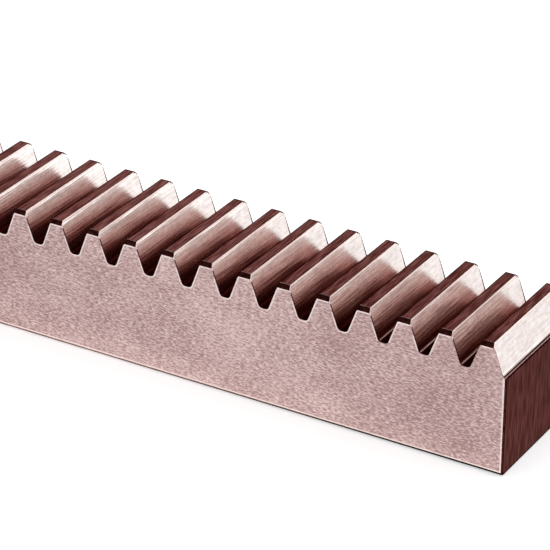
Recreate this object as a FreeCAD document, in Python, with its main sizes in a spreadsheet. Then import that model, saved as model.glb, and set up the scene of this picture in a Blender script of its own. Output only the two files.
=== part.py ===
import FreeCAD, Part
import math
import os
import Sketcher

# Gear rack: one straight bar of square steel with straight teeth cut across its top.
# X runs along the bar, Y across it and Z up through the teeth. The origin is at the centre
# of the bottom face.
os.makedirs("parts", exist_ok=True)
doc = FreeCAD.newDocument("gear_rack_stock")

# Driving dimensions, in millimetres and degrees. The teeth are the standard basic rack: the
# module sets the pitch, and the two ratios set how far a tooth stands above and reaches below
# the pitch line. The end clearance is how far each end face stays short of the middle of its
# tooth space, so that two racks laid end to end keep the pitch across the joint.
SIZES = [
    ("tooth_module", 4.0),
    ("tooth_count", 40),
    ("pressure_angle", 20.0),
    ("addendum_ratio", 1.0),
    ("dedendum_ratio", 1.25),
    ("root_radius", 1.2),
    ("bar_width", 40.0),
    ("bar_height", 40.0),
    ("long_bevel", 1.1),
    ("end_bevel", 0.4),
    ("end_clearance", 0.2),
]
sheet = doc.addObject("Spreadsheet::Sheet", "Dimensions")
for row, (name, value) in enumerate(SIZES, start=1):
    sheet.set("A%d" % row, name)
    sheet.set("B%d" % row, str(value))
    sheet.setAlias("B%d" % row, name)
doc.recompute()

# Sizes worked out from the driving ones. Each is written as a formula for the features to
# follow, and its value places the sketch lines at first.
FORMULAS = {
    "pitch": "pi * Dimensions.tooth_module",
    "half_pitch_length": "pi * Dimensions.tooth_module * Dimensions.tooth_count / 2",
    "half_length": "pi * Dimensions.tooth_module * Dimensions.tooth_count / 2"
                   " - Dimensions.end_clearance",
    "pitch_height": "Dimensions.bar_height - Dimensions.addendum_ratio * Dimensions.tooth_module",
    "root_height": "Dimensions.bar_height - Dimensions.tooth_module"
                   " * (Dimensions.addendum_ratio + Dimensions.dedendum_ratio)",
    "mouth_height": "Dimensions.bar_height + Dimensions.tooth_module / 4",
}
pitch = math.pi * sheet.tooth_module
half_pitch_length = pitch * sheet.tooth_count / 2
half_length = half_pitch_length - sheet.end_clearance
pitch_height = sheet.bar_height - sheet.addendum_ratio * sheet.tooth_module
root_height = pitch_height - sheet.dedendum_ratio * sheet.tooth_module
mouth_height = sheet.bar_height + sheet.tooth_module / 4


def point(x, y):
    """A point in a sketch's own plane."""
    return FreeCAD.Vector(x, y, 0)


def origin_feature(body, role):
    """The body's own origin plane or axis with this role."""
    for feature in body.Origin.OriginFeatures:
        if feature.Role == role:
            return feature
    raise ValueError("the body has no " + role)


def new_sketch(body, role, name):
    """A sketch lying on one of the body's own origin planes."""
    sketch = body.newObject("Sketcher::SketchObject", name)
    sketch.AttachmentSupport = [(origin_feature(body, role), "")]
    sketch.MapMode = "FlatFace"
    return sketch


def add_line(sketch, start, end, construction=False):
    return sketch.addGeometry(Part.LineSegment(start, end), construction)


def add_arc(sketch, centre, radius, first_angle, last_angle):
    circle = Part.Circle(centre, FreeCAD.Vector(0, 0, 1), radius)
    return sketch.addGeometry(Part.ArcOfCircle(circle, first_angle, last_angle), False)


def relate(sketch, kind, *arguments):
    """Add a constraint that has no size."""
    sketch.addConstraint(Sketcher.Constraint(kind, *arguments))


def measure(sketch, formula, value, kind, *arguments):
    """Add a sized constraint that follows a formula of the driving dimensions."""
    index = sketch.addConstraint(Sketcher.Constraint(kind, *arguments, value))
    sketch.setExpression("Constraints[%d]" % index, formula)


def follow(feature, size, formula):
    """Make one of the feature's sizes follow a formula of the driving dimensions."""
    feature.setExpression(size, formula)


def edge_names(shape, chosen):
    """Names of the shape's edges whose pair of end points is chosen."""
    names = []
    for number, edge in enumerate(shape.Edges, start=1):
        if chosen(*[vertex.Point for vertex in edge.Vertexes]):
            names.append("Edge%d" % number)
    return names


def check_cut(before, after):
    """Stop where a feature that should take metal away has taken none."""
    if not after.Shape.Volume < before.Shape.Volume:
        raise ValueError(after.Name + " cut nothing")


# Sketch point numbers: a line's or arc's start and end, and the sketch's own origin.
START = 1
END = 2
ORIGIN = (-1, 1)

body = doc.addObject("PartDesign::Body", "gear_rack")
body.Label = "gear_rack"
body.Placement = FreeCAD.Placement(FreeCAD.Vector(0, 0, 0), FreeCAD.Rotation())

# The bar: a square section that stands on the bottom face, drawn out along X.
section = new_sketch(body, "YZ_Plane", "bar_section")
half_width = sheet.bar_width / 2
bottom = add_line(section, point(-half_width, 0), point(half_width, 0))
back = add_line(section, point(half_width, 0), point(half_width, sheet.bar_height))
top = add_line(section, point(half_width, sheet.bar_height), point(-half_width, sheet.bar_height))
front = add_line(section, point(-half_width, sheet.bar_height), point(-half_width, 0))
for side, following in ((bottom, back), (back, top), (top, front), (front, bottom)):
    relate(section, "Coincident", side, END, following, START)
relate(section, "Vertical", back)
relate(section, "Vertical", front)
relate(section, "Horizontal", top)
relate(section, "Horizontal", bottom)
relate(section, "Symmetric", bottom, START, bottom, END, *ORIGIN)
measure(section, "Dimensions.bar_width", sheet.bar_width, "DistanceX", bottom, START, bottom, END)
measure(section, "Dimensions.bar_height", sheet.bar_height, "DistanceY", back, START, back, END)

bar = body.newObject("PartDesign::Pad", "bar")
bar.Profile = section
bar.SideType = "Symmetric"
follow(bar, "Length", "2 * (%s)" % FORMULAS["half_length"])
doc.recompute()

# The bar's four long corners are bevelled before the teeth are cut, so each tooth keeps a
# piece of the bevel at the front and at the back of its top land.
long_corners = edge_names(bar.Shape, lambda a, b: abs(a.x - b.x) > half_length)
long_bevels = body.newObject("PartDesign::Chamfer", "long_bevels")
long_bevels.Base = (bar, long_corners)
follow(long_bevels, "Size", "Dimensions.long_bevel")
doc.recompute()
check_cut(bar, long_bevels)

# The sharp rim of each cut end is broken all round.
CLOSE = 1e-6
end_rims = edge_names(long_bevels.Shape,
                      lambda a, b: abs(abs(a.x + b.x) - 2 * half_length) < CLOSE)
end_bevels = body.newObject("PartDesign::Chamfer", "end_bevels")
end_bevels.Base = (long_bevels, end_rims)
follow(end_bevels, "Size", "Dimensions.end_bevel")
doc.recompute()
check_cut(long_bevels, end_bevels)

# One tooth space, seen from the front: two straight flanks at the pressure angle, a flat root
# and two arcs tangent to both. On the pitch line the space is half a pitch wide. The first
# space is centred on the left end of the pitch length, so the bar ends in half a space.
flank_angle = math.radians(sheet.pressure_angle)
space_centre = -half_pitch_length


def space_half_width(height):
    """Half the distance between the straight flanks at a height."""
    return pitch / 4 + (height - pitch_height) * math.tan(flank_angle)


# The arcs touch the root this far from the corner where flank and root would meet.
arc_setback = sheet.root_radius * math.tan(math.pi / 4 - flank_angle / 2)
arc_x = space_half_width(root_height) - arc_setback
arc_y = root_height + sheet.root_radius
foot_x = arc_x + sheet.root_radius * math.cos(flank_angle)
foot_y = arc_y - sheet.root_radius * math.sin(flank_angle)
mouth_x = space_half_width(mouth_height)

space = new_sketch(body, "XZ_Plane", "tooth_space")
left_flank = add_line(space, point(space_centre - mouth_x, mouth_height),
                      point(space_centre - foot_x, foot_y))
left_arc = add_arc(space, point(space_centre - arc_x, arc_y), sheet.root_radius,
                   math.pi + flank_angle, 1.5 * math.pi)
root = add_line(space, point(space_centre - arc_x, root_height),
                point(space_centre + arc_x, root_height))
right_arc = add_arc(space, point(space_centre + arc_x, arc_y), sheet.root_radius,
                    1.5 * math.pi, 2 * math.pi - flank_angle)
right_flank = add_line(space, point(space_centre + foot_x, foot_y),
                       point(space_centre + mouth_x, mouth_height))
mouth = add_line(space, point(space_centre + mouth_x, mouth_height),
                 point(space_centre - mouth_x, mouth_height))
pitch_chord = add_line(space, point(space_centre - pitch / 4, pitch_height),
                       point(space_centre + pitch / 4, pitch_height), construction=True)
for piece, following in ((left_flank, left_arc), (left_arc, root),
                         (root, right_arc), (right_arc, right_flank)):
    relate(space, "Tangent", piece, END, following, START)
relate(space, "Coincident", right_flank, END, mouth, START)
relate(space, "Coincident", mouth, END, left_flank, START)
relate(space, "Horizontal", root)
relate(space, "Horizontal", mouth)
relate(space, "Horizontal", pitch_chord)
relate(space, "PointOnObject", pitch_chord, START, left_flank)
relate(space, "PointOnObject", pitch_chord, END, right_flank)
relate(space, "Equal", left_arc, right_arc)
measure(space, "Dimensions.root_radius", sheet.root_radius, "Radius", left_arc)
measure(space, "(90 - Dimensions.pressure_angle) * 1 deg", math.pi / 2 - flank_angle,
        "Angle", right_flank)
measure(space, "(Dimensions.pressure_angle - 90) * 1 deg", flank_angle - math.pi / 2,
        "Angle", left_flank)
measure(space, FORMULAS["pitch"] + " / 2", pitch / 2,
        "DistanceX", pitch_chord, START, pitch_chord, END)
measure(space, "%s + %s / 4" % (FORMULAS["half_pitch_length"], FORMULAS["pitch"]),
        half_pitch_length + pitch / 4, "DistanceX", pitch_chord, START, *ORIGIN)
measure(space, FORMULAS["pitch_height"], pitch_height, "DistanceY", *ORIGIN, pitch_chord, START)
measure(space, FORMULAS["root_height"], root_height, "DistanceY", *ORIGIN, root, START)
measure(space, FORMULAS["mouth_height"], mouth_height, "DistanceY", *ORIGIN, mouth, START)

first_space = body.newObject("PartDesign::Pocket", "first_space")
first_space.Profile = space
first_space.Type = "ThroughAll"
first_space.SideType = "Symmetric"
doc.recompute()
check_cut(end_bevels, first_space)

# The spaces repeat at the pitch along the whole bar: one more space than there are teeth,
# with the first and the last cut in half by the bar's ends.
teeth = body.newObject("PartDesign::LinearPattern", "teeth")
teeth.Originals = [first_space]
teeth.Direction = (origin_feature(body, "X_Axis"), [""])
teeth.Mode = "Spacing"
follow(teeth, "Offset", FORMULAS["pitch"])
follow(teeth, "Occurrences", "Dimensions.tooth_count + 1")
body.Tip = teeth
doc.recompute()
check_cut(first_space, teeth)

# Cutting the last half space leaves a new sharp edge where its root meets the end face. It is
# broken like the rest of the rim: a three-sided cutter with its long side at 45 degrees, whose
# square corner stands one bevel beyond the end face and above the root.
reach = 3 * sheet.end_bevel
corner_x = half_length + sheet.end_bevel
corner_y = root_height + sheet.end_bevel
break_section = new_sketch(body, "XZ_Plane", "root_end_section")
level_side = add_line(break_section, point(corner_x - reach, corner_y), point(corner_x, corner_y))
upright_side = add_line(break_section, point(corner_x, corner_y), point(corner_x, corner_y - reach))
slant_side = add_line(break_section, point(corner_x, corner_y - reach),
                      point(corner_x - reach, corner_y))
for side, following in ((level_side, upright_side), (upright_side, slant_side),
                        (slant_side, level_side)):
    relate(break_section, "Coincident", side, END, following, START)
relate(break_section, "Horizontal", level_side)
relate(break_section, "Vertical", upright_side)
relate(break_section, "Equal", level_side, upright_side)
measure(break_section, "3 * Dimensions.end_bevel", reach,
        "DistanceX", level_side, START, level_side, END)
measure(break_section, FORMULAS["half_length"] + " + Dimensions.end_bevel", corner_x,
        "DistanceX", *ORIGIN, level_side, END)
measure(break_section, FORMULAS["root_height"] + " + Dimensions.end_bevel", corner_y,
        "DistanceY", *ORIGIN, level_side, END)

right_root_bevel = body.newObject("PartDesign::Pocket", "right_root_bevel")
right_root_bevel.Profile = break_section
right_root_bevel.Type = "ThroughAll"
right_root_bevel.SideType = "Symmetric"
doc.recompute()
check_cut(teeth, right_root_bevel)

# The left end is the mirror image of the right one.
root_bevels = body.newObject("PartDesign::Mirrored", "root_bevels")
root_bevels.Originals = [right_root_bevel]
root_bevels.MirrorPlane = (origin_feature(body, "YZ_Plane"), [""])
body.Tip = root_bevels
doc.recompute()
check_cut(right_root_bevel, root_bevels)

# Nothing is written unless every feature worked and the finished rack is one sound solid.
for item in doc.Objects:
    if "Invalid" in item.State or "Error" in item.State:
        raise ValueError(item.Name + " failed")
for sketch in (section, space, break_section):
    if sketch.solve() != 0 or sketch.FullyConstrained is False:
        raise ValueError(sketch.Name + " isn't fully held by its constraints")
if body.Shape.isNull() or not body.Shape.isValid() or len(body.Shape.Solids) != 1:
    raise ValueError("the rack isn't one sound solid")

body.Shape.exportStep("parts/%s.step" % body.Label)
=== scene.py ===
import math

import bpy
import numpy as np
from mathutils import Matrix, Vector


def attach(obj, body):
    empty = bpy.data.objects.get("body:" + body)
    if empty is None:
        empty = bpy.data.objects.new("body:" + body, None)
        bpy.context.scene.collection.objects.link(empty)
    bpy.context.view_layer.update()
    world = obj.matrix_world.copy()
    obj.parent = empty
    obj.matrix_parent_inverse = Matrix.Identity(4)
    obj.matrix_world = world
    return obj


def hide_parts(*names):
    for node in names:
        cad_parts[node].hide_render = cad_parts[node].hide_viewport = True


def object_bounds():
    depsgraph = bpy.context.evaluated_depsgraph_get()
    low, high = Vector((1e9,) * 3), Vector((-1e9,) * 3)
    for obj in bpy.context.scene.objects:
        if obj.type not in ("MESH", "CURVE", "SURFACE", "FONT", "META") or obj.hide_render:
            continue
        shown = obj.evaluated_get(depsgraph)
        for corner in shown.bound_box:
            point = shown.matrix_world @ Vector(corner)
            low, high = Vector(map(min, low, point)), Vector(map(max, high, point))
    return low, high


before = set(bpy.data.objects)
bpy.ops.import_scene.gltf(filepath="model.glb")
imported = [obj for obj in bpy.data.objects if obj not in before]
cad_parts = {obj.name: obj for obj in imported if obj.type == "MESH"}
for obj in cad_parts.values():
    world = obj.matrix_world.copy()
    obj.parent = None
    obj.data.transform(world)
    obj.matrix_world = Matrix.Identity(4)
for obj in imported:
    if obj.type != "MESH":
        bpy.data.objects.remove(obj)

cad_low, cad_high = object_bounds()

# The rack bar.
# One straight bar of square steel. Its four long corners are bevelled, straight teeth are
# milled across its top, both ends are sawn, and every edge a cutter left is broken by hand.
MM = 0.001
MODULE = 4.0 * MM
TEETH = 40
PRESSURE_ANGLE = math.radians(20)
ADDENDUM = 1.0
DEDENDUM = 1.25
ROOT_RADIUS = 1.2 * MM
ARC_POINTS = 9
FLANK_STEPS = (0.25, 0.55, 0.8)
LONG_BEVEL = 1.1 * MM
END_BEVEL = 0.4 * MM
RIM_BREAK = 0.15 * MM
BURR_LINE = 0.15 * MM
BURR_AT_TIP = 0.5
BURR_AT_ROOT = 4.5
SOFT_EDGE = 0.06 * MM
BORDER = 0.4 * MM
FOOT_LINE = 0.4 * MM
FOOT_BURR = 0.2 * MM
TIP_RELIEF = 0.1 * MM
LAND_LINE = 0.3 * MM
FLANK_LINE = 0.4 * MM
LAND_END = 0.45 * MM
END_LINE = 0.4 * MM
SHARP_ANGLE = math.radians(30)

half_length = cad_high.x
half_width = cad_high.y
height = cad_high.z
pitch = math.pi * MODULE
pitch_height = height - ADDENDUM * MODULE
root_height = pitch_height - DEDENDUM * MODULE
slope = math.tan(PRESSURE_ANGLE)
corner_setback = math.tan(math.pi / 4 - PRESSURE_ANGLE / 2)


def tooth_outline(centres):
    """The rack's top outline, tooth after tooth.

    Each tooth is half a root, root arc, flank and half a land, then the same mirrored.
    A root point is the arc's centre plus the radius times (sin a, -cos a), with a from upright
    to the flank's own normal. The flank's top fifth is eased back by the tip relief times the
    square of the way up it. At the tip the two normals' mean is lengthened, so that a step of
    d along it moves both sides of the corner by d, and the land's line beside the tip follows
    it. Returns for each point x, z, the outward normal's x and z, and the tip mark: 0 on roots
    and flanks, and the side's sign on the land and on the flank's uppermost line.
    """
    normal_turn = math.pi / 2 - PRESSURE_ANGLE
    root_turn = np.linspace(0, normal_turn, ARC_POINTS)
    arc_x = pitch / 4 - (pitch_height - root_height) * slope - ROOT_RADIUS * corner_setback
    root_x = pitch / 2 - arc_x - ROOT_RADIUS * np.sin(root_turn)
    root_z = root_height + ROOT_RADIUS * (1 - np.cos(root_turn))
    flank_z = root_height + np.array(FLANK_STEPS) * (height - root_height)
    flank_z = np.append(flank_z, height - FLANK_LINE)
    eased = np.maximum((flank_z - flank_z[-2]) / (height - flank_z[-2]), 0) ** 2 * TIP_RELIEF
    flank_x = pitch / 4 - (flank_z - pitch_height) * slope - eased
    flank_turn = normal_turn + 0 * flank_z
    tip_x = pitch / 4 - ADDENDUM * MODULE * slope - TIP_RELIEF - np.array([0, LAND_LINE])
    tip_z = np.array([height, height])
    turn = np.concatenate([root_turn, flank_turn])
    x = np.concatenate([root_x, flank_x, tip_x])
    z = np.concatenate([root_z, flank_z, tip_z])
    normal_x = np.concatenate([np.sin(turn), np.full(2, math.tan(normal_turn / 2))])
    normal_z = np.concatenate([np.cos(turn), [1, 1]])
    tip = np.concatenate([0 * turn[:-1], [1, 1, 1]])
    sides = [(-x, z, -normal_x, normal_z, -tip)]
    sides.append((x[::-1], z[::-1], normal_x[::-1], normal_z[::-1], tip[::-1]))
    one = [np.concatenate(pair) for pair in zip(*sides)]
    many = [np.tile(values, len(centres)) for values in one]
    many[0] = many[0] + np.repeat(centres, len(one[0]))
    return many


def trim_ends(outline, reach):
    """The outline cut at plus and minus reach, with points on each cut and a border before it."""
    x = outline[0]
    kept = np.abs(x) < reach - BORDER
    left = np.array([-reach, BORDER - reach])
    right = np.array([reach - BORDER, reach])
    return [np.concatenate([np.interp(left, x, values), values[kept],
                            np.interp(right, x, values)]) for values in outline]


def section_ring(outline, inset):
    """Every point of the bar's skin as a ring round each outline point, as arrays (column, ring).

    The ring's upper part crosses the bar at the outline's height. Near each side the outline is
    moved into the metal along its normal by the rim break, and a tip is lowered by the long
    bevel less the distance from the side, sliding out along the flank by slope times that. At
    the back the burr's line widens evenly from the tip to the root. The lower part is the fixed
    rectangle with bevelled corners. All of it is drawn in by inset.
    """
    x, z, normal_x, normal_z, tip = [values[:, None] for values in outline]
    columns = np.ones_like(x)
    bevel = LONG_BEVEL - (2 - math.sqrt(2)) * inset
    side = half_width - inset
    front = np.array([[0, 0, RIM_BREAK, RIM_BREAK + BURR_LINE, bevel - SOFT_EDGE, bevel + SOFT_EDGE,
                       bevel + SOFT_EDGE + LAND_END]]) * columns
    back = front.copy()
    fall = (height - z) / (height - root_height)
    back[:, 3:4] = RIM_BREAK + BURR_LINE * (BURR_AT_TIP + (BURR_AT_ROOT - BURR_AT_TIP) * fall)
    across = np.concatenate([front - side, side - back[:, ::-1]], axis=1)
    lowered = np.maximum(bevel - np.concatenate([front, back[:, ::-1]], axis=1), 0)
    into_metal = np.array([RIM_BREAK + BORDER, RIM_BREAK, 0, 0, 0, 0, 0])
    into_metal = np.concatenate([into_metal, into_metal[::-1]])[None, :]
    top_x = x + tip * slope * lowered - normal_x * into_metal
    top_z = z - np.abs(tip) * lowered - normal_z * into_metal - inset
    low_y = side - np.array([0, 0, SOFT_EDGE, bevel - SOFT_EDGE, bevel + SOFT_EDGE])
    low_z = np.array([bevel + FOOT_BURR + FOOT_LINE, bevel + FOOT_BURR,
                      bevel - SOFT_EDGE, SOFT_EDGE, 0]) + inset
    low_y = np.concatenate([low_y, -low_y[::-1]])[None, :]
    low_z = np.concatenate([low_z, low_z[::-1]])[None, :]
    return (np.concatenate([top_x, x * np.ones_like(low_y)], axis=1),
            np.concatenate([across, columns * low_y], axis=1),
            np.concatenate([top_z, columns * low_z], axis=1))


centres = (np.arange(TEETH) - (TEETH - 1) / 2) * pitch
outline = trim_ends(tooth_outline(centres), half_length - END_BEVEL)
ring_x, ring_y, ring_z = section_ring(outline, 0)
ends = [values[[0, -1]] for values in outline]
rims = section_ring(ends, END_BEVEL)
caps = section_ring(ends, END_BEVEL + END_LINE)
rims = (np.sign(rims[0]) * half_length, rims[1], rims[2])
caps = (np.sign(caps[0]) * half_length, caps[1], caps[2])
skin = []
for cap, rim, ring in zip(caps, rims, (ring_x, ring_y, ring_z)):
    middle = (rim + ring[[0, -1]]) / 2
    skin.append(np.concatenate([cap[:1], rim[:1], middle[:1], ring, middle[1:], rim[1:], cap[1:]]))
skin = np.stack(skin, axis=-1)
columns, around = skin.shape[:2]
number = np.arange(columns * around).reshape(columns, around)
ahead = np.roll(number, -1, axis=1)
quads = np.stack([number[:-1], number[1:], ahead[1:], ahead[:-1]], axis=-1)
faces = quads.reshape(-1, 4).tolist()
faces.append(number[0].tolist())
faces.append(number[-1][::-1].tolist())

mesh = bpy.data.meshes.new("rack_bar")
mesh.from_pydata(skin.reshape(-1, 3), [], faces)
mesh.polygons.foreach_set("use_smooth", np.ones(len(faces), bool))
mesh.set_sharp_from_angle(angle=SHARP_ANGLE)
mesh.update()
rack = bpy.data.objects.new("rack_bar", mesh)
bpy.context.scene.collection.objects.link(rack)
shading = rack.modifiers.new("flat_faces_first", "WEIGHTED_NORMAL")
shading.keep_sharp = True
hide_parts("gear_rack")
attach(rack, "root")

# The strips of the skin that the finishes below take their faces from. Round the bar they are
# counted from the border line at the front's upper border: over the teeth to the back face at BACK,
# and under the bar to the front face at FRONT. Each end of the bar adds three columns of its own.
BORDER_LINE, CHAMFER, BURR, BEVEL, SOFTENED, LAND_TAIL = range(6)
BACK = 13
FRONT = around - 1
FOOT_LINES = [BACK + 1, FRONT - 1]
END_COLUMNS = 3
NEAR_ENDS = [END_COLUMNS, -END_COLUMNS - 1]
LEVEL_LEAN = 0.9995

# How far below its tip the front rim of a right flank goes without the painted border highlight,
# how far it gets the painted edge highlight, and how far above the root the border highlight is
# left out in the last spaces.
PLAIN_RIM_DEPTH = 4.5 * MM
BRIGHT_RIM_DEPTH = 2.5 * MM
PLAIN_ROOT_HEIGHT = 0.5 * MM


def at_back(place):
    """The strip at the back that mirrors the given one at the front."""
    return BACK - 1 - place


column_x, column_z, facing, lean, tip = [np.pad(values, END_COLUMNS) for values in outline]
level = (lean[:-1] + lean[1:]) / 2 > LEVEL_LEAN
land = level & (tip[:-1] * tip[1:] != 0)
land_line = level & (tip[:-1] * tip[1:] > 0)
corner = ~level & (tip[:-1] * tip[1:] > 0)
right_side = ~level & (facing[:-1] + facing[1:] > 0.01)
left_side = ~level & ~right_side
last_side = right_side & (column_x[:-1] > centres[-1])
lower_end = np.minimum(column_z[:-1], column_z[1:])
plain_rim = right_side & (lower_end > height - PLAIN_RIM_DEPTH)
bright_rim = right_side & (lower_end > height - BRIGHT_RIM_DEPTH)
plain_root = (lower_end < root_height + PLAIN_ROOT_HEIGHT) & (column_x[:-1] > centres[-4])
plain_root |= ~level & (column_x[:-1] > centres[-2])
strip = np.zeros((columns - 1, around), int)

# How much painted shade each place of the teeth gets, standing for the shade deep in the spaces:
# the left flanks, more towards the root, so that the right flanks mirror them dark, and the right
# flanks only at the root. The two outermost flanks, which have no neighbour, get none, and in the
# last three spaces the arc at the right flank's foot is left bright, a painted glint. The painted
# shade is stronger towards the left end and weaker towards the back.
SHADE_FREE_TIP = 0.2 * MM
ARC_LEAN = 0.57
SHADE_PLACES = np.array([80, 160, 240]) * MM
SHADE_STRENGTHS = [1.3, 1.08, 0.81]
ROOT_SHADE_POWER = 9
FRONT_SHADE = 1.04
BACK_SHADE = 0.8

depth = np.clip((height - SHADE_FREE_TIP - outline[1]) / (height - SHADE_FREE_TIP - root_height), 0, 1)
leftness = (1 - outline[2] / math.cos(PRESSURE_ANGLE)) / 2
shade_along = np.interp(outline[0], SHADE_PLACES, SHADE_STRENGTHS)
painted_shade = leftness * depth * shade_along + (1 - leftness) * depth ** ROOT_SHADE_POWER
painted_shade[np.abs(outline[0]) > centres[-1]] = 0
# The arc left without painted shade in the last three spaces is a painted glint.
shade_lifted = (outline[0] > centres[-4]) & (outline[2] > 0.5) & (outline[3] > ARC_LEAN)
painted_shade[shade_lifted & (outline[4] == 0)] = 0
behind = (skin[..., 1] + half_width) / (2 * half_width)
shade_front_to_back = FRONT_SHADE + (BACK_SHADE - FRONT_SHADE) * behind
# The painted shade is kept per point, for the milled material to read.
painted_shade_layer = mesh.attributes.new("painted_shade", "FLOAT", "POINT")
painted_shade_layer.data.foreach_set("value", (np.pad(painted_shade, END_COLUMNS)[:, None] * shade_front_to_back).ravel())


def metal(name, edge_tint=1.0):
    """A metal material, given to the bar, with its node tree and its shader.

    The edge tint is how much of the mirror image is left at a low angle.
    """
    material = bpy.data.materials.new(name)
    material.use_nodes = True
    shader = material.node_tree.nodes["Principled BSDF"]
    shader.inputs["Metallic"].default_value = 1
    shader.inputs["Specular Tint"].default_value = (edge_tint, edge_tint, edge_tint, 1)
    mesh.materials.append(material)
    return material.node_tree, shader


def axes(tree, kind="Object"):
    """The X, Y and Z of each shaded place, in the object's own frame unless kind says otherwise."""
    place = tree.nodes.new("ShaderNodeTexCoord")
    apart = tree.nodes.new("ShaderNodeSeparateXYZ")
    tree.links.new(place.outputs[kind], apart.inputs["Vector"])
    return apart.outputs


def grain(tree, size, turn=(0, 0, 0), detail=2.0, distortion=0.0):
    """Noise whose blobs have about the given size in metres, turned by the given angles."""
    place = tree.nodes.new("ShaderNodeTexCoord")
    squeeze = tree.nodes.new("ShaderNodeMapping")
    squeeze.vector_type = "TEXTURE"
    squeeze.inputs["Rotation"].default_value = turn
    squeeze.inputs["Scale"].default_value = size
    noise = tree.nodes.new("ShaderNodeTexNoise")
    noise.inputs["Scale"].default_value = 1
    noise.inputs["Detail"].default_value = detail
    noise.inputs["Distortion"].default_value = distortion
    tree.links.new(place.outputs["Object"], squeeze.inputs["Vector"])
    tree.links.new(squeeze.outputs["Vector"], noise.inputs["Vector"])
    return noise.outputs["Fac"]


def spread(tree, value, low, high, start=0.0, end=1.0):
    """The value carried from low and high over to start and end, and held beyond them."""
    node = tree.nodes.new("ShaderNodeMapRange")
    node.inputs["From Min"].default_value = low
    node.inputs["From Max"].default_value = high
    node.inputs["To Min"].default_value = start
    node.inputs["To Max"].default_value = end
    tree.links.new(value, node.inputs["Value"])
    return node.outputs["Result"]


def join(tree, operation, first, second):
    """Two values joined by a sum, a product or the larger of the two."""
    node = tree.nodes.new("ShaderNodeMath")
    node.operation = operation
    for slot, value in zip(node.inputs, (first, second)):
        if isinstance(value, float):
            slot.default_value = value
        else:
            tree.links.new(value, slot)
    return node.outputs["Value"]


def tone(tree, amount, dark, light):
    """The colour that amount picks on the way from dark to light; each is a colour or an output."""
    node = tree.nodes.new("ShaderNodeMix")
    node.data_type = "RGBA"
    tree.links.new(amount, node.inputs["Factor"])
    for slot, colour in zip((node.inputs[6], node.inputs[7]), (dark, light)):
        if isinstance(colour, tuple):
            slot.default_value = (*colour, 1)
        else:
            tree.links.new(colour, slot)
    return node.outputs[2]


def steps(tree, value, stops):
    """The colour that value picks on a scale of colours, given as (place, colour) stops."""
    node = tree.nodes.new("ShaderNodeValToRGB")
    scale = node.color_ramp.elements
    while len(scale) < len(stops):
        scale.new(1.0)
    for stop, (place, colour) in zip(scale, stops):
        stop.position = place
        stop.color = (*colour, 1)
    tree.links.new(value, node.inputs["Fac"])
    return node.outputs["Color"]


def raise_lines(tree, shader, value, depth, strength):
    """Bump of the shader's surface by value, in metres of depth."""
    bump = tree.nodes.new("ShaderNodeBump")
    bump.inputs["Strength"].default_value = strength
    bump.inputs["Distance"].default_value = depth
    tree.links.new(value, bump.inputs["Height"])
    tree.links.new(bump.outputs["Normal"], shader.inputs["Normal"])


# The ground sides.
# The front, the back and the underside are surface ground along the bar, which leaves a dull
# pinkish steel covered in short fine strokes that lie along the bar and waver a little. All but
# a stretch near the right end is a little darker.
GROUND_DARK = (0.375, 0.234, 0.227)
GROUND_LIGHT = (0.84, 0.65, 0.63)
LIGHTER_FROM = (90 * MM, 140 * MM)
LIGHTER_TO = (180 * MM, 230 * MM)
GROUND_DARKENING = -0.045

tree, shader = metal("ground_steel")
strokes = grain(tree, (1.5 * MM, 0.5 * MM, 0.42 * MM), (0, 0.1, 0), 0.8, 0.4)
crossing = grain(tree, (0.9 * MM, 0.5 * MM, 0.4 * MM), (0, -0.4, 0), 0.8, 0.3)
clouds = grain(tree, (14 * MM, 8 * MM, 8 * MM), (0, 0, 0), 2)
worked = join(tree, "ADD", join(tree, "MULTIPLY", strokes, 0.6), join(tree, "MULTIPLY", crossing, 0.4))
worked = join(tree, "ADD", worked, join(tree, "MULTIPLY", clouds, 0.2))
where = axes(tree)
ground_darkening = join(tree, "ADD", spread(tree, where["X"], *LIGHTER_FROM, GROUND_DARKENING, 0),
               spread(tree, where["X"], *LIGHTER_TO, 0, GROUND_DARKENING))
shade = spread(tree, join(tree, "ADD", worked, ground_darkening), 0.46, 0.74)
colour = tone(tree, shade, GROUND_DARK, GROUND_LIGHT)
tree.links.new(colour, shader.inputs["Base Color"])
tree.links.new(spread(tree, strokes, 0.3, 0.7, 0.36, 0.5), shader.inputs["Roughness"])
raise_lines(tree, shader, worked, 0.02 * MM, 0.35)
GROUND = 0

# The milled teeth.
# Flanks and roots are cut steel, brighter than the sides, with fine cutter lines along each
# space. A painted shade makes them darker and browner towards the root and on the left flanks.
# Fine scratches dull the front half of the spaces, more towards the right end, but hardly the
# last flank.
MILLED_DARK = (0.79, 0.705, 0.675)
MILLED_LIGHT = (1, 0.955, 0.935)
SCRATCH_COLOUR = (0.5, 0.38, 0.35)
SCRATCHED_ALONG = (150 * MM, 210 * MM)
SCRATCHED_ACROSS = (4 * MM, 14 * MM)
LAST_FLANK = (240 * MM, 246 * MM)
SHADE_COLOURS = [(0, (1, 1, 1)), (0.1, (1, 0.93, 0.915)), (0.26, (0.94, 0.79, 0.76)),
                 (0.42, (0.72, 0.465, 0.44)), (0.66, (0.24, 0.06, 0.048)),
                 (0.82, (0.055, 0.01, 0.008)), (1, (0.07, 0.013, 0.011))]

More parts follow.
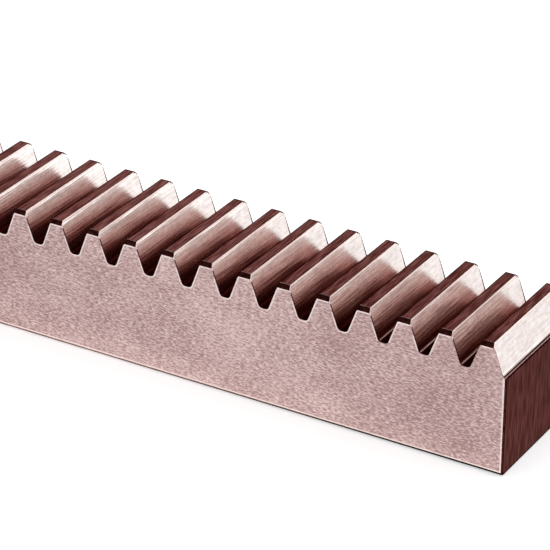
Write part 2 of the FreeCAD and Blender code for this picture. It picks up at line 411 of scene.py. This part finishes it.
tree, shader = metal("milled_steel", 0.3)
lines = grain(tree, (0.3 * MM, 10 * MM, 0.3 * MM), (0, 0, 0), 1)
mottle = grain(tree, (1.0 * MM, 2.2 * MM, 1.0 * MM), (0, 0, 0), 2)
cut = join(tree, "ADD", join(tree, "MULTIPLY", lines, 0.5), join(tree, "MULTIPLY", mottle, 0.5))
unshaded_colour = tone(tree, spread(tree, cut, 0.38, 0.62), MILLED_DARK, MILLED_LIGHT)
scratches = grain(tree, (0.45 * MM, 8 * MM, 0.45 * MM), (0, 0, 0), 1)
where = axes(tree)
unpolished = join(tree, "MULTIPLY", spread(tree, where["X"], *SCRATCHED_ALONG, 0.15, 0.5),
                  spread(tree, where["Y"], *SCRATCHED_ACROSS, 1, 0))
unpolished = join(tree, "MULTIPLY", unpolished, spread(tree, where["X"], *LAST_FLANK, 1, 0.3))
scratched = join(tree, "MULTIPLY", spread(tree, scratches, 0.46, 0.64), unpolished)
unshaded_colour = tone(tree, scratched, unshaded_colour, SCRATCH_COLOUR)
# The painted shade darkens and browns the milled colour, most deep in the spaces.
layer = tree.nodes.new("ShaderNodeAttribute")
layer.attribute_name = "painted_shade"
shade_colour = join(tree, "ADD", layer.outputs["Fac"], spread(tree, lines, 0.3, 0.7, -0.12, 0.12))
shade_colour = steps(tree, shade_colour, SHADE_COLOURS)
wash = tree.nodes.new("ShaderNodeMix")
wash.data_type = "RGBA"
wash.blend_type = "MULTIPLY"
wash.inputs["Factor"].default_value = 1
tree.links.new(unshaded_colour, wash.inputs[6])
tree.links.new(shade_colour, wash.inputs[7])
tree.links.new(wash.outputs[2], shader.inputs["Base Color"])
tree.links.new(spread(tree, lines, 0.3, 0.7, 0.16, 0.22), shader.inputs["Roughness"])
ridges = grain(tree, (0.6 * MM, 12 * MM, 0.6 * MM), (0, 0, 0), 0)
raise_lines(tree, shader, ridges, 0.07 * MM, 0.6)
MILLED = 1
top = strip[:, :BACK]
top[:] = MILLED

# The bar skin.
# The tooth lands are what is left of the bar's drawn surface: a thin brown skin, streaked
# along the teeth by the last pass of the cutter and a little darker towards the right end.
SKIN_DARK = (0.14, 0.035, 0.03)
SKIN_LIGHT = (0.44, 0.185, 0.165)
DARKER_ALONG = (130 * MM, 200 * MM)

tree, shader = metal("bar_skin", 0.5)
streaks = grain(tree, (0.45 * MM, 7 * MM, 1 * MM), (0, 0, 0), 3)
where = axes(tree)
shade = join(tree, "ADD", streaks, spread(tree, where["X"], *DARKER_ALONG, 0, -0.05))
colour = tone(tree, spread(tree, shade, 0.38, 0.62), SKIN_DARK, SKIN_LIGHT)
tree.links.new(colour, shader.inputs["Base Color"])
tree.links.new(spread(tree, streaks, 0.3, 0.7, 0.3, 0.42), shader.inputs["Roughness"])
raise_lines(tree, shader, streaks, 0.01 * MM, 0.25)
SKIN = 2
top[land] = SKIN

# The dark corners.
# Black scale, thick and dull, covers the two upper long bevels. The same near-black on the rim
# breaks and burrs of the teeth, the ends' bevels and a line along both edges of every land is
# painted shade along those edges.
SCALE_AND_SHADE_DARK = (0.018, 0.004, 0.0035)
SCALE_AND_SHADE_LIGHT = (0.08, 0.02, 0.017)

tree, shader = metal("black_scale_and_shade", 0.1)
spots = grain(tree, (1.2 * MM, 1.2 * MM, 1.2 * MM), (0, 0, 0), 3)
colour = tone(tree, spread(tree, spots, 0.3, 0.7), SCALE_AND_SHADE_DARK, SCALE_AND_SHADE_LIGHT)
tree.links.new(colour, shader.inputs["Base Color"])
tree.links.new(spread(tree, spots, 0.3, 0.7, 0.35, 0.5), shader.inputs["Roughness"])
SCALE_AND_SHADE = 3
# Near-black on the rim breaks, burrs and land edge lines is painted shade; on the upper long bevels it
# is scale.
top[:, [CHAMFER, BURR, at_back(BURR), at_back(CHAMFER)]] = SCALE_AND_SHADE
top[land, CHAMFER:SOFTENED] = SCALE_AND_SHADE
top[land, at_back(LAND_TAIL):at_back(BORDER_LINE)] = SCALE_AND_SHADE
top[land_line] = SCALE_AND_SHADE

# The painted edge highlights.
# A painted highlight, in bright steel colour, lies along the tips of the right flanks, their front
# corners near the tips, the left flanks' back corners and a line above each lower long bevel.
HIGHLIGHT_DARK = (0.82, 0.65, 0.61)
HIGHLIGHT_LIGHT = (1, 0.85, 0.81)

tree, shader = metal("painted_edge_highlight")
shader.inputs["Roughness"].default_value = 0.4
highlight_grain = grain(tree, (1.0 * MM, 1.0 * MM, 1.0 * MM), (0, 0, 0), 3)
colour = tone(tree, spread(tree, highlight_grain, 0.3, 0.7), HIGHLIGHT_DARK, HIGHLIGHT_LIGHT)
tree.links.new(colour, shader.inputs["Base Color"])
HIGHLIGHT = 4
# Painted highlight along the right flanks' tips; their back corners get painted shade.
top[corner & right_side, BEVEL:at_back(LAND_TAIL)] = HIGHLIGHT
top[corner & right_side, at_back(LAND_TAIL):at_back(BORDER_LINE)] = SCALE_AND_SHADE

# The border highlights.
# A painted highlight, a narrow line a little brighter than the ground face, runs along every
# border of the front and back. It is left out beside the right flanks' tips.
BORDER_HIGHLIGHT_DARK = (0.74, 0.58, 0.56)
BORDER_HIGHLIGHT_LIGHT = (0.98, 0.86, 0.84)

tree, shader = metal("painted_border_highlight")
shader.inputs["Roughness"].default_value = 0.3
border_grain = grain(tree, (2.5 * MM, 0.8 * MM, 0.8 * MM), (0, 0, 0), 3)
colour = tone(tree, spread(tree, border_grain, 0.3, 0.7), BORDER_HIGHLIGHT_DARK, BORDER_HIGHLIGHT_LIGHT)
tree.links.new(colour, shader.inputs["Base Color"])
BORDER_HIGHLIGHT = 5
# Painted highlight along every border of the front and back.
top[:, [BORDER_LINE, at_back(BORDER_LINE)]] = BORDER_HIGHLIGHT
top[plain_rim | plain_root, BORDER_LINE] = GROUND
top[bright_rim, CHAMFER:BEVEL] = HIGHLIGHT
top[bright_rim | left_side, at_back(BURR)] = MILLED
top[left_side, at_back(CHAMFER)] = HIGHLIGHT
top[last_side, CHAMFER] = GROUND
top[land, SOFTENED] = GROUND
# Painted highlight on a line above each lower long bevel.
strip[:, FOOT_LINES] = HIGHLIGHT
strip[np.ix_(NEAR_ENDS, [BACK, FRONT])] = BORDER_HIGHLIGHT
strip[NEAR_ENDS, CHAMFER:at_back(BORDER_LINE)] = SCALE_AND_SHADE
strip[:END_COLUMNS] = SCALE_AND_SHADE
strip[-END_COLUMNS:] = SCALE_AND_SHADE
strip[[END_COLUMNS - 1, -END_COLUMNS], CHAMFER:at_back(BORDER_LINE)] = GROUND

# The foot bevels.
# The two lower bevels are painted near-black, a painted shade for the floor's shadow mirrored in
# them. In patches they are lighter, most of all away from the right end.
FOOT_SHADE_DARK = (0.012, 0.003, 0.0025)
FOOT_SHADE_LIGHTER = (0.56, 0.4, 0.38)
FOOT_DARKEST_ALONG = (120 * MM, 235 * MM)

tree, shader = metal("painted_foot_shade", 0.1)
shader.inputs["Roughness"].default_value = 0.4
patches = grain(tree, (3 * MM, 1.2 * MM, 1.2 * MM), (0, 0, 0), 3)
where = axes(tree)
shade_lifted = join(tree, "MULTIPLY", spread(tree, where["X"], *FOOT_DARKEST_ALONG, 1, 0),
              spread(tree, patches, 0.3, 0.6, 0.6, 1))
colour = tone(tree, shade_lifted, FOOT_SHADE_DARK, FOOT_SHADE_LIGHTER)
tree.links.new(colour, shader.inputs["Base Color"])
FOOT_SHADE = 6
FOOT_STRIPS = 3
between_ends = strip[END_COLUMNS:-END_COLUMNS]
# Painted shade on the two lower bevels.
between_ends[:, BACK + 2:BACK + 2 + FOOT_STRIPS] = FOOT_SHADE
between_ends[:, FRONT - 1 - FOOT_STRIPS:FRONT - 1] = FOOT_SHADE

# The sawn ends.
# Both ends are cut by a band saw, whose teeth leave faint upright lines on a brown face.
SAWN_DARK = (0.062, 0.012, 0.009)
SAWN_LIGHT = (0.155, 0.05, 0.044)

tree, shader = metal("sawn_steel", 0.5)
saw_lines = grain(tree, (1 * MM, 0.8 * MM, 7 * MM), (0, 0, 0), 2)
colour = tone(tree, spread(tree, saw_lines, 0.35, 0.65), SAWN_DARK, SAWN_LIGHT)
tree.links.new(colour, shader.inputs["Base Color"])
tree.links.new(spread(tree, saw_lines, 0.3, 0.7, 0.4, 0.52), shader.inputs["Roughness"])
raise_lines(tree, shader, saw_lines, 0.02 * MM, 0.3)
SAWN = 7
mesh.polygons.foreach_set("material_index", np.concatenate([strip.ravel(), [SAWN, SAWN]]))
mesh.update()

# The studio.
# A pale floor under the bar, a white room that is dimmer overhead, and one large soft lamp
# low behind on the right.
FLOOR_HALF = 6.0
FLOOR_COLOUR = (0.9, 0.9, 0.9, 1)
SEEN_GLOW = 0.17
CAMERA_GLOW = 0.27
BEHIND_GLOW = 0.16
BEFORE_GLOW = 0.33
ROOM_LIGHT = (0.9, 0.9, 0.9)
ROOM_MIRRORED = [(0.12, (0.96, 0.925, 0.915)), (0.3, (0.87, 0.81, 0.8)), (0.42, (0.79, 0.71, 0.7)),
                 (0.52, (0.48, 0.43, 0.42)), (0.75, (0.34, 0.305, 0.3))]
LAMP_PLACE = (2.7, 2.8, 1.0)
LAMP_WATTS = 8.4

floor_mesh = bpy.data.meshes.new("studio_floor")
floor_corners = np.array([(-1, -1, 0), (1, -1, 0), (1, 1, 0), (-1, 1, 0)]) * FLOOR_HALF
floor_mesh.from_pydata(floor_corners, [], [(0, 1, 2, 3)])
floor = bpy.data.objects.new("studio_floor", floor_mesh)
bpy.context.scene.collection.objects.link(floor)


def seen_directly(tree):
    """1 for camera, glossy and transmission rays, and 0 for the rest."""
    path = tree.nodes.new("ShaderNodeLightPath")
    seen = join(tree, "MAXIMUM", path.outputs["Is Camera Ray"], path.outputs["Is Glossy Ray"])
    return join(tree, "MAXIMUM", seen, path.outputs["Is Transmission Ray"])


floor_material = bpy.data.materials.new("studio_floor")
floor_material.use_nodes = True
tree = floor_material.node_tree
shader = tree.nodes["Principled BSDF"]
shader.inputs["Base Color"].default_value = FLOOR_COLOUR
shader.inputs["Roughness"].default_value = 0.9
shader.inputs["Specular IOR Level"].default_value = 0.0
shader.inputs["Emission Color"].default_value = (1, 1, 1, 1)
# The floor glows a little where it is seen or mirrored, more for the camera, and for mirrors also
# in two bands, one behind the bar and one before it.
path = tree.nodes.new("ShaderNodeLightPath")
glow = join(tree, "MULTIPLY", seen_directly(tree), SEEN_GLOW)
glow = join(tree, "ADD", glow, join(tree, "MULTIPLY", path.outputs["Is Camera Ray"], CAMERA_GLOW))
where = axes(tree)
behind = join(tree, "MULTIPLY", spread(tree, where["Y"], 30 * MM, 100 * MM),
              spread(tree, where["Y"], 250 * MM, 450 * MM, BEHIND_GLOW, 0))
before = join(tree, "MULTIPLY", spread(tree, where["Y"], -40 * MM, -27 * MM, 0, BEFORE_GLOW),
              spread(tree, where["Y"], 10 * MM, 30 * MM, 1, 0))
mirrored = join(tree, "MULTIPLY", path.outputs["Is Glossy Ray"], join(tree, "ADD", behind, before))
glow = join(tree, "ADD", glow, mirrored)
tree.links.new(glow, shader.inputs["Emission Strength"])
floor_mesh.materials.append(floor_material)

world = bpy.data.worlds.new("studio")
bpy.context.scene.world = world
world.use_nodes = True
tree = world.node_tree
background = tree.nodes["Background"]
room = steps(tree, axes(tree, "Generated")["Z"], ROOM_MIRRORED)
room = tone(tree, seen_directly(tree), ROOM_LIGHT, room)
path = tree.nodes.new("ShaderNodeLightPath")
tree.links.new(tone(tree, path.outputs["Is Camera Ray"], room, (1, 1, 1)), background.inputs["Color"])

lamp_data = bpy.data.lights.new("window_lamp", "AREA")
lamp_data.shape = "RECTANGLE"
lamp_data.size = 3.0
lamp_data.size_y = 1.9
lamp_data.energy = LAMP_WATTS
lamp = bpy.data.objects.new("window_lamp", lamp_data)
bpy.context.scene.collection.objects.link(lamp)
lamp.location = LAMP_PLACE
lamp.rotation_mode = "QUATERNION"
lamp.rotation_quaternion = lamp.location.to_track_quat("Z", "Y")
lamp.visible_camera = False

# The camera.
# A long lens to the right and above, looking along the bar from its right end.
CAMERA_PLACE = (0.5569, -0.6634, 0.4350)
CAMERA_AZIMUTH = math.radians(30.392)
CAMERA_ELEVATION = math.radians(27.759)
CAMERA_ROLL = math.radians(0.427)
CAMERA_LENS = 200.87

camera_data = bpy.data.cameras.new("camera")
camera_data.sensor_width = 36
camera_data.lens = CAMERA_LENS
camera_data.clip_start = 0.05
camera = bpy.data.objects.new("camera", camera_data)
bpy.context.scene.collection.objects.link(camera)
camera.location = CAMERA_PLACE
camera.rotation_mode = "XYZ"
camera.rotation_euler = (math.pi / 2 - CAMERA_ELEVATION, 0, CAMERA_AZIMUTH)
camera.rotation_euler.rotate_axis("Z", CAMERA_ROLL)
bpy.context.scene.camera = camera
bpy.context.scene.view_settings.view_transform = "Standard"
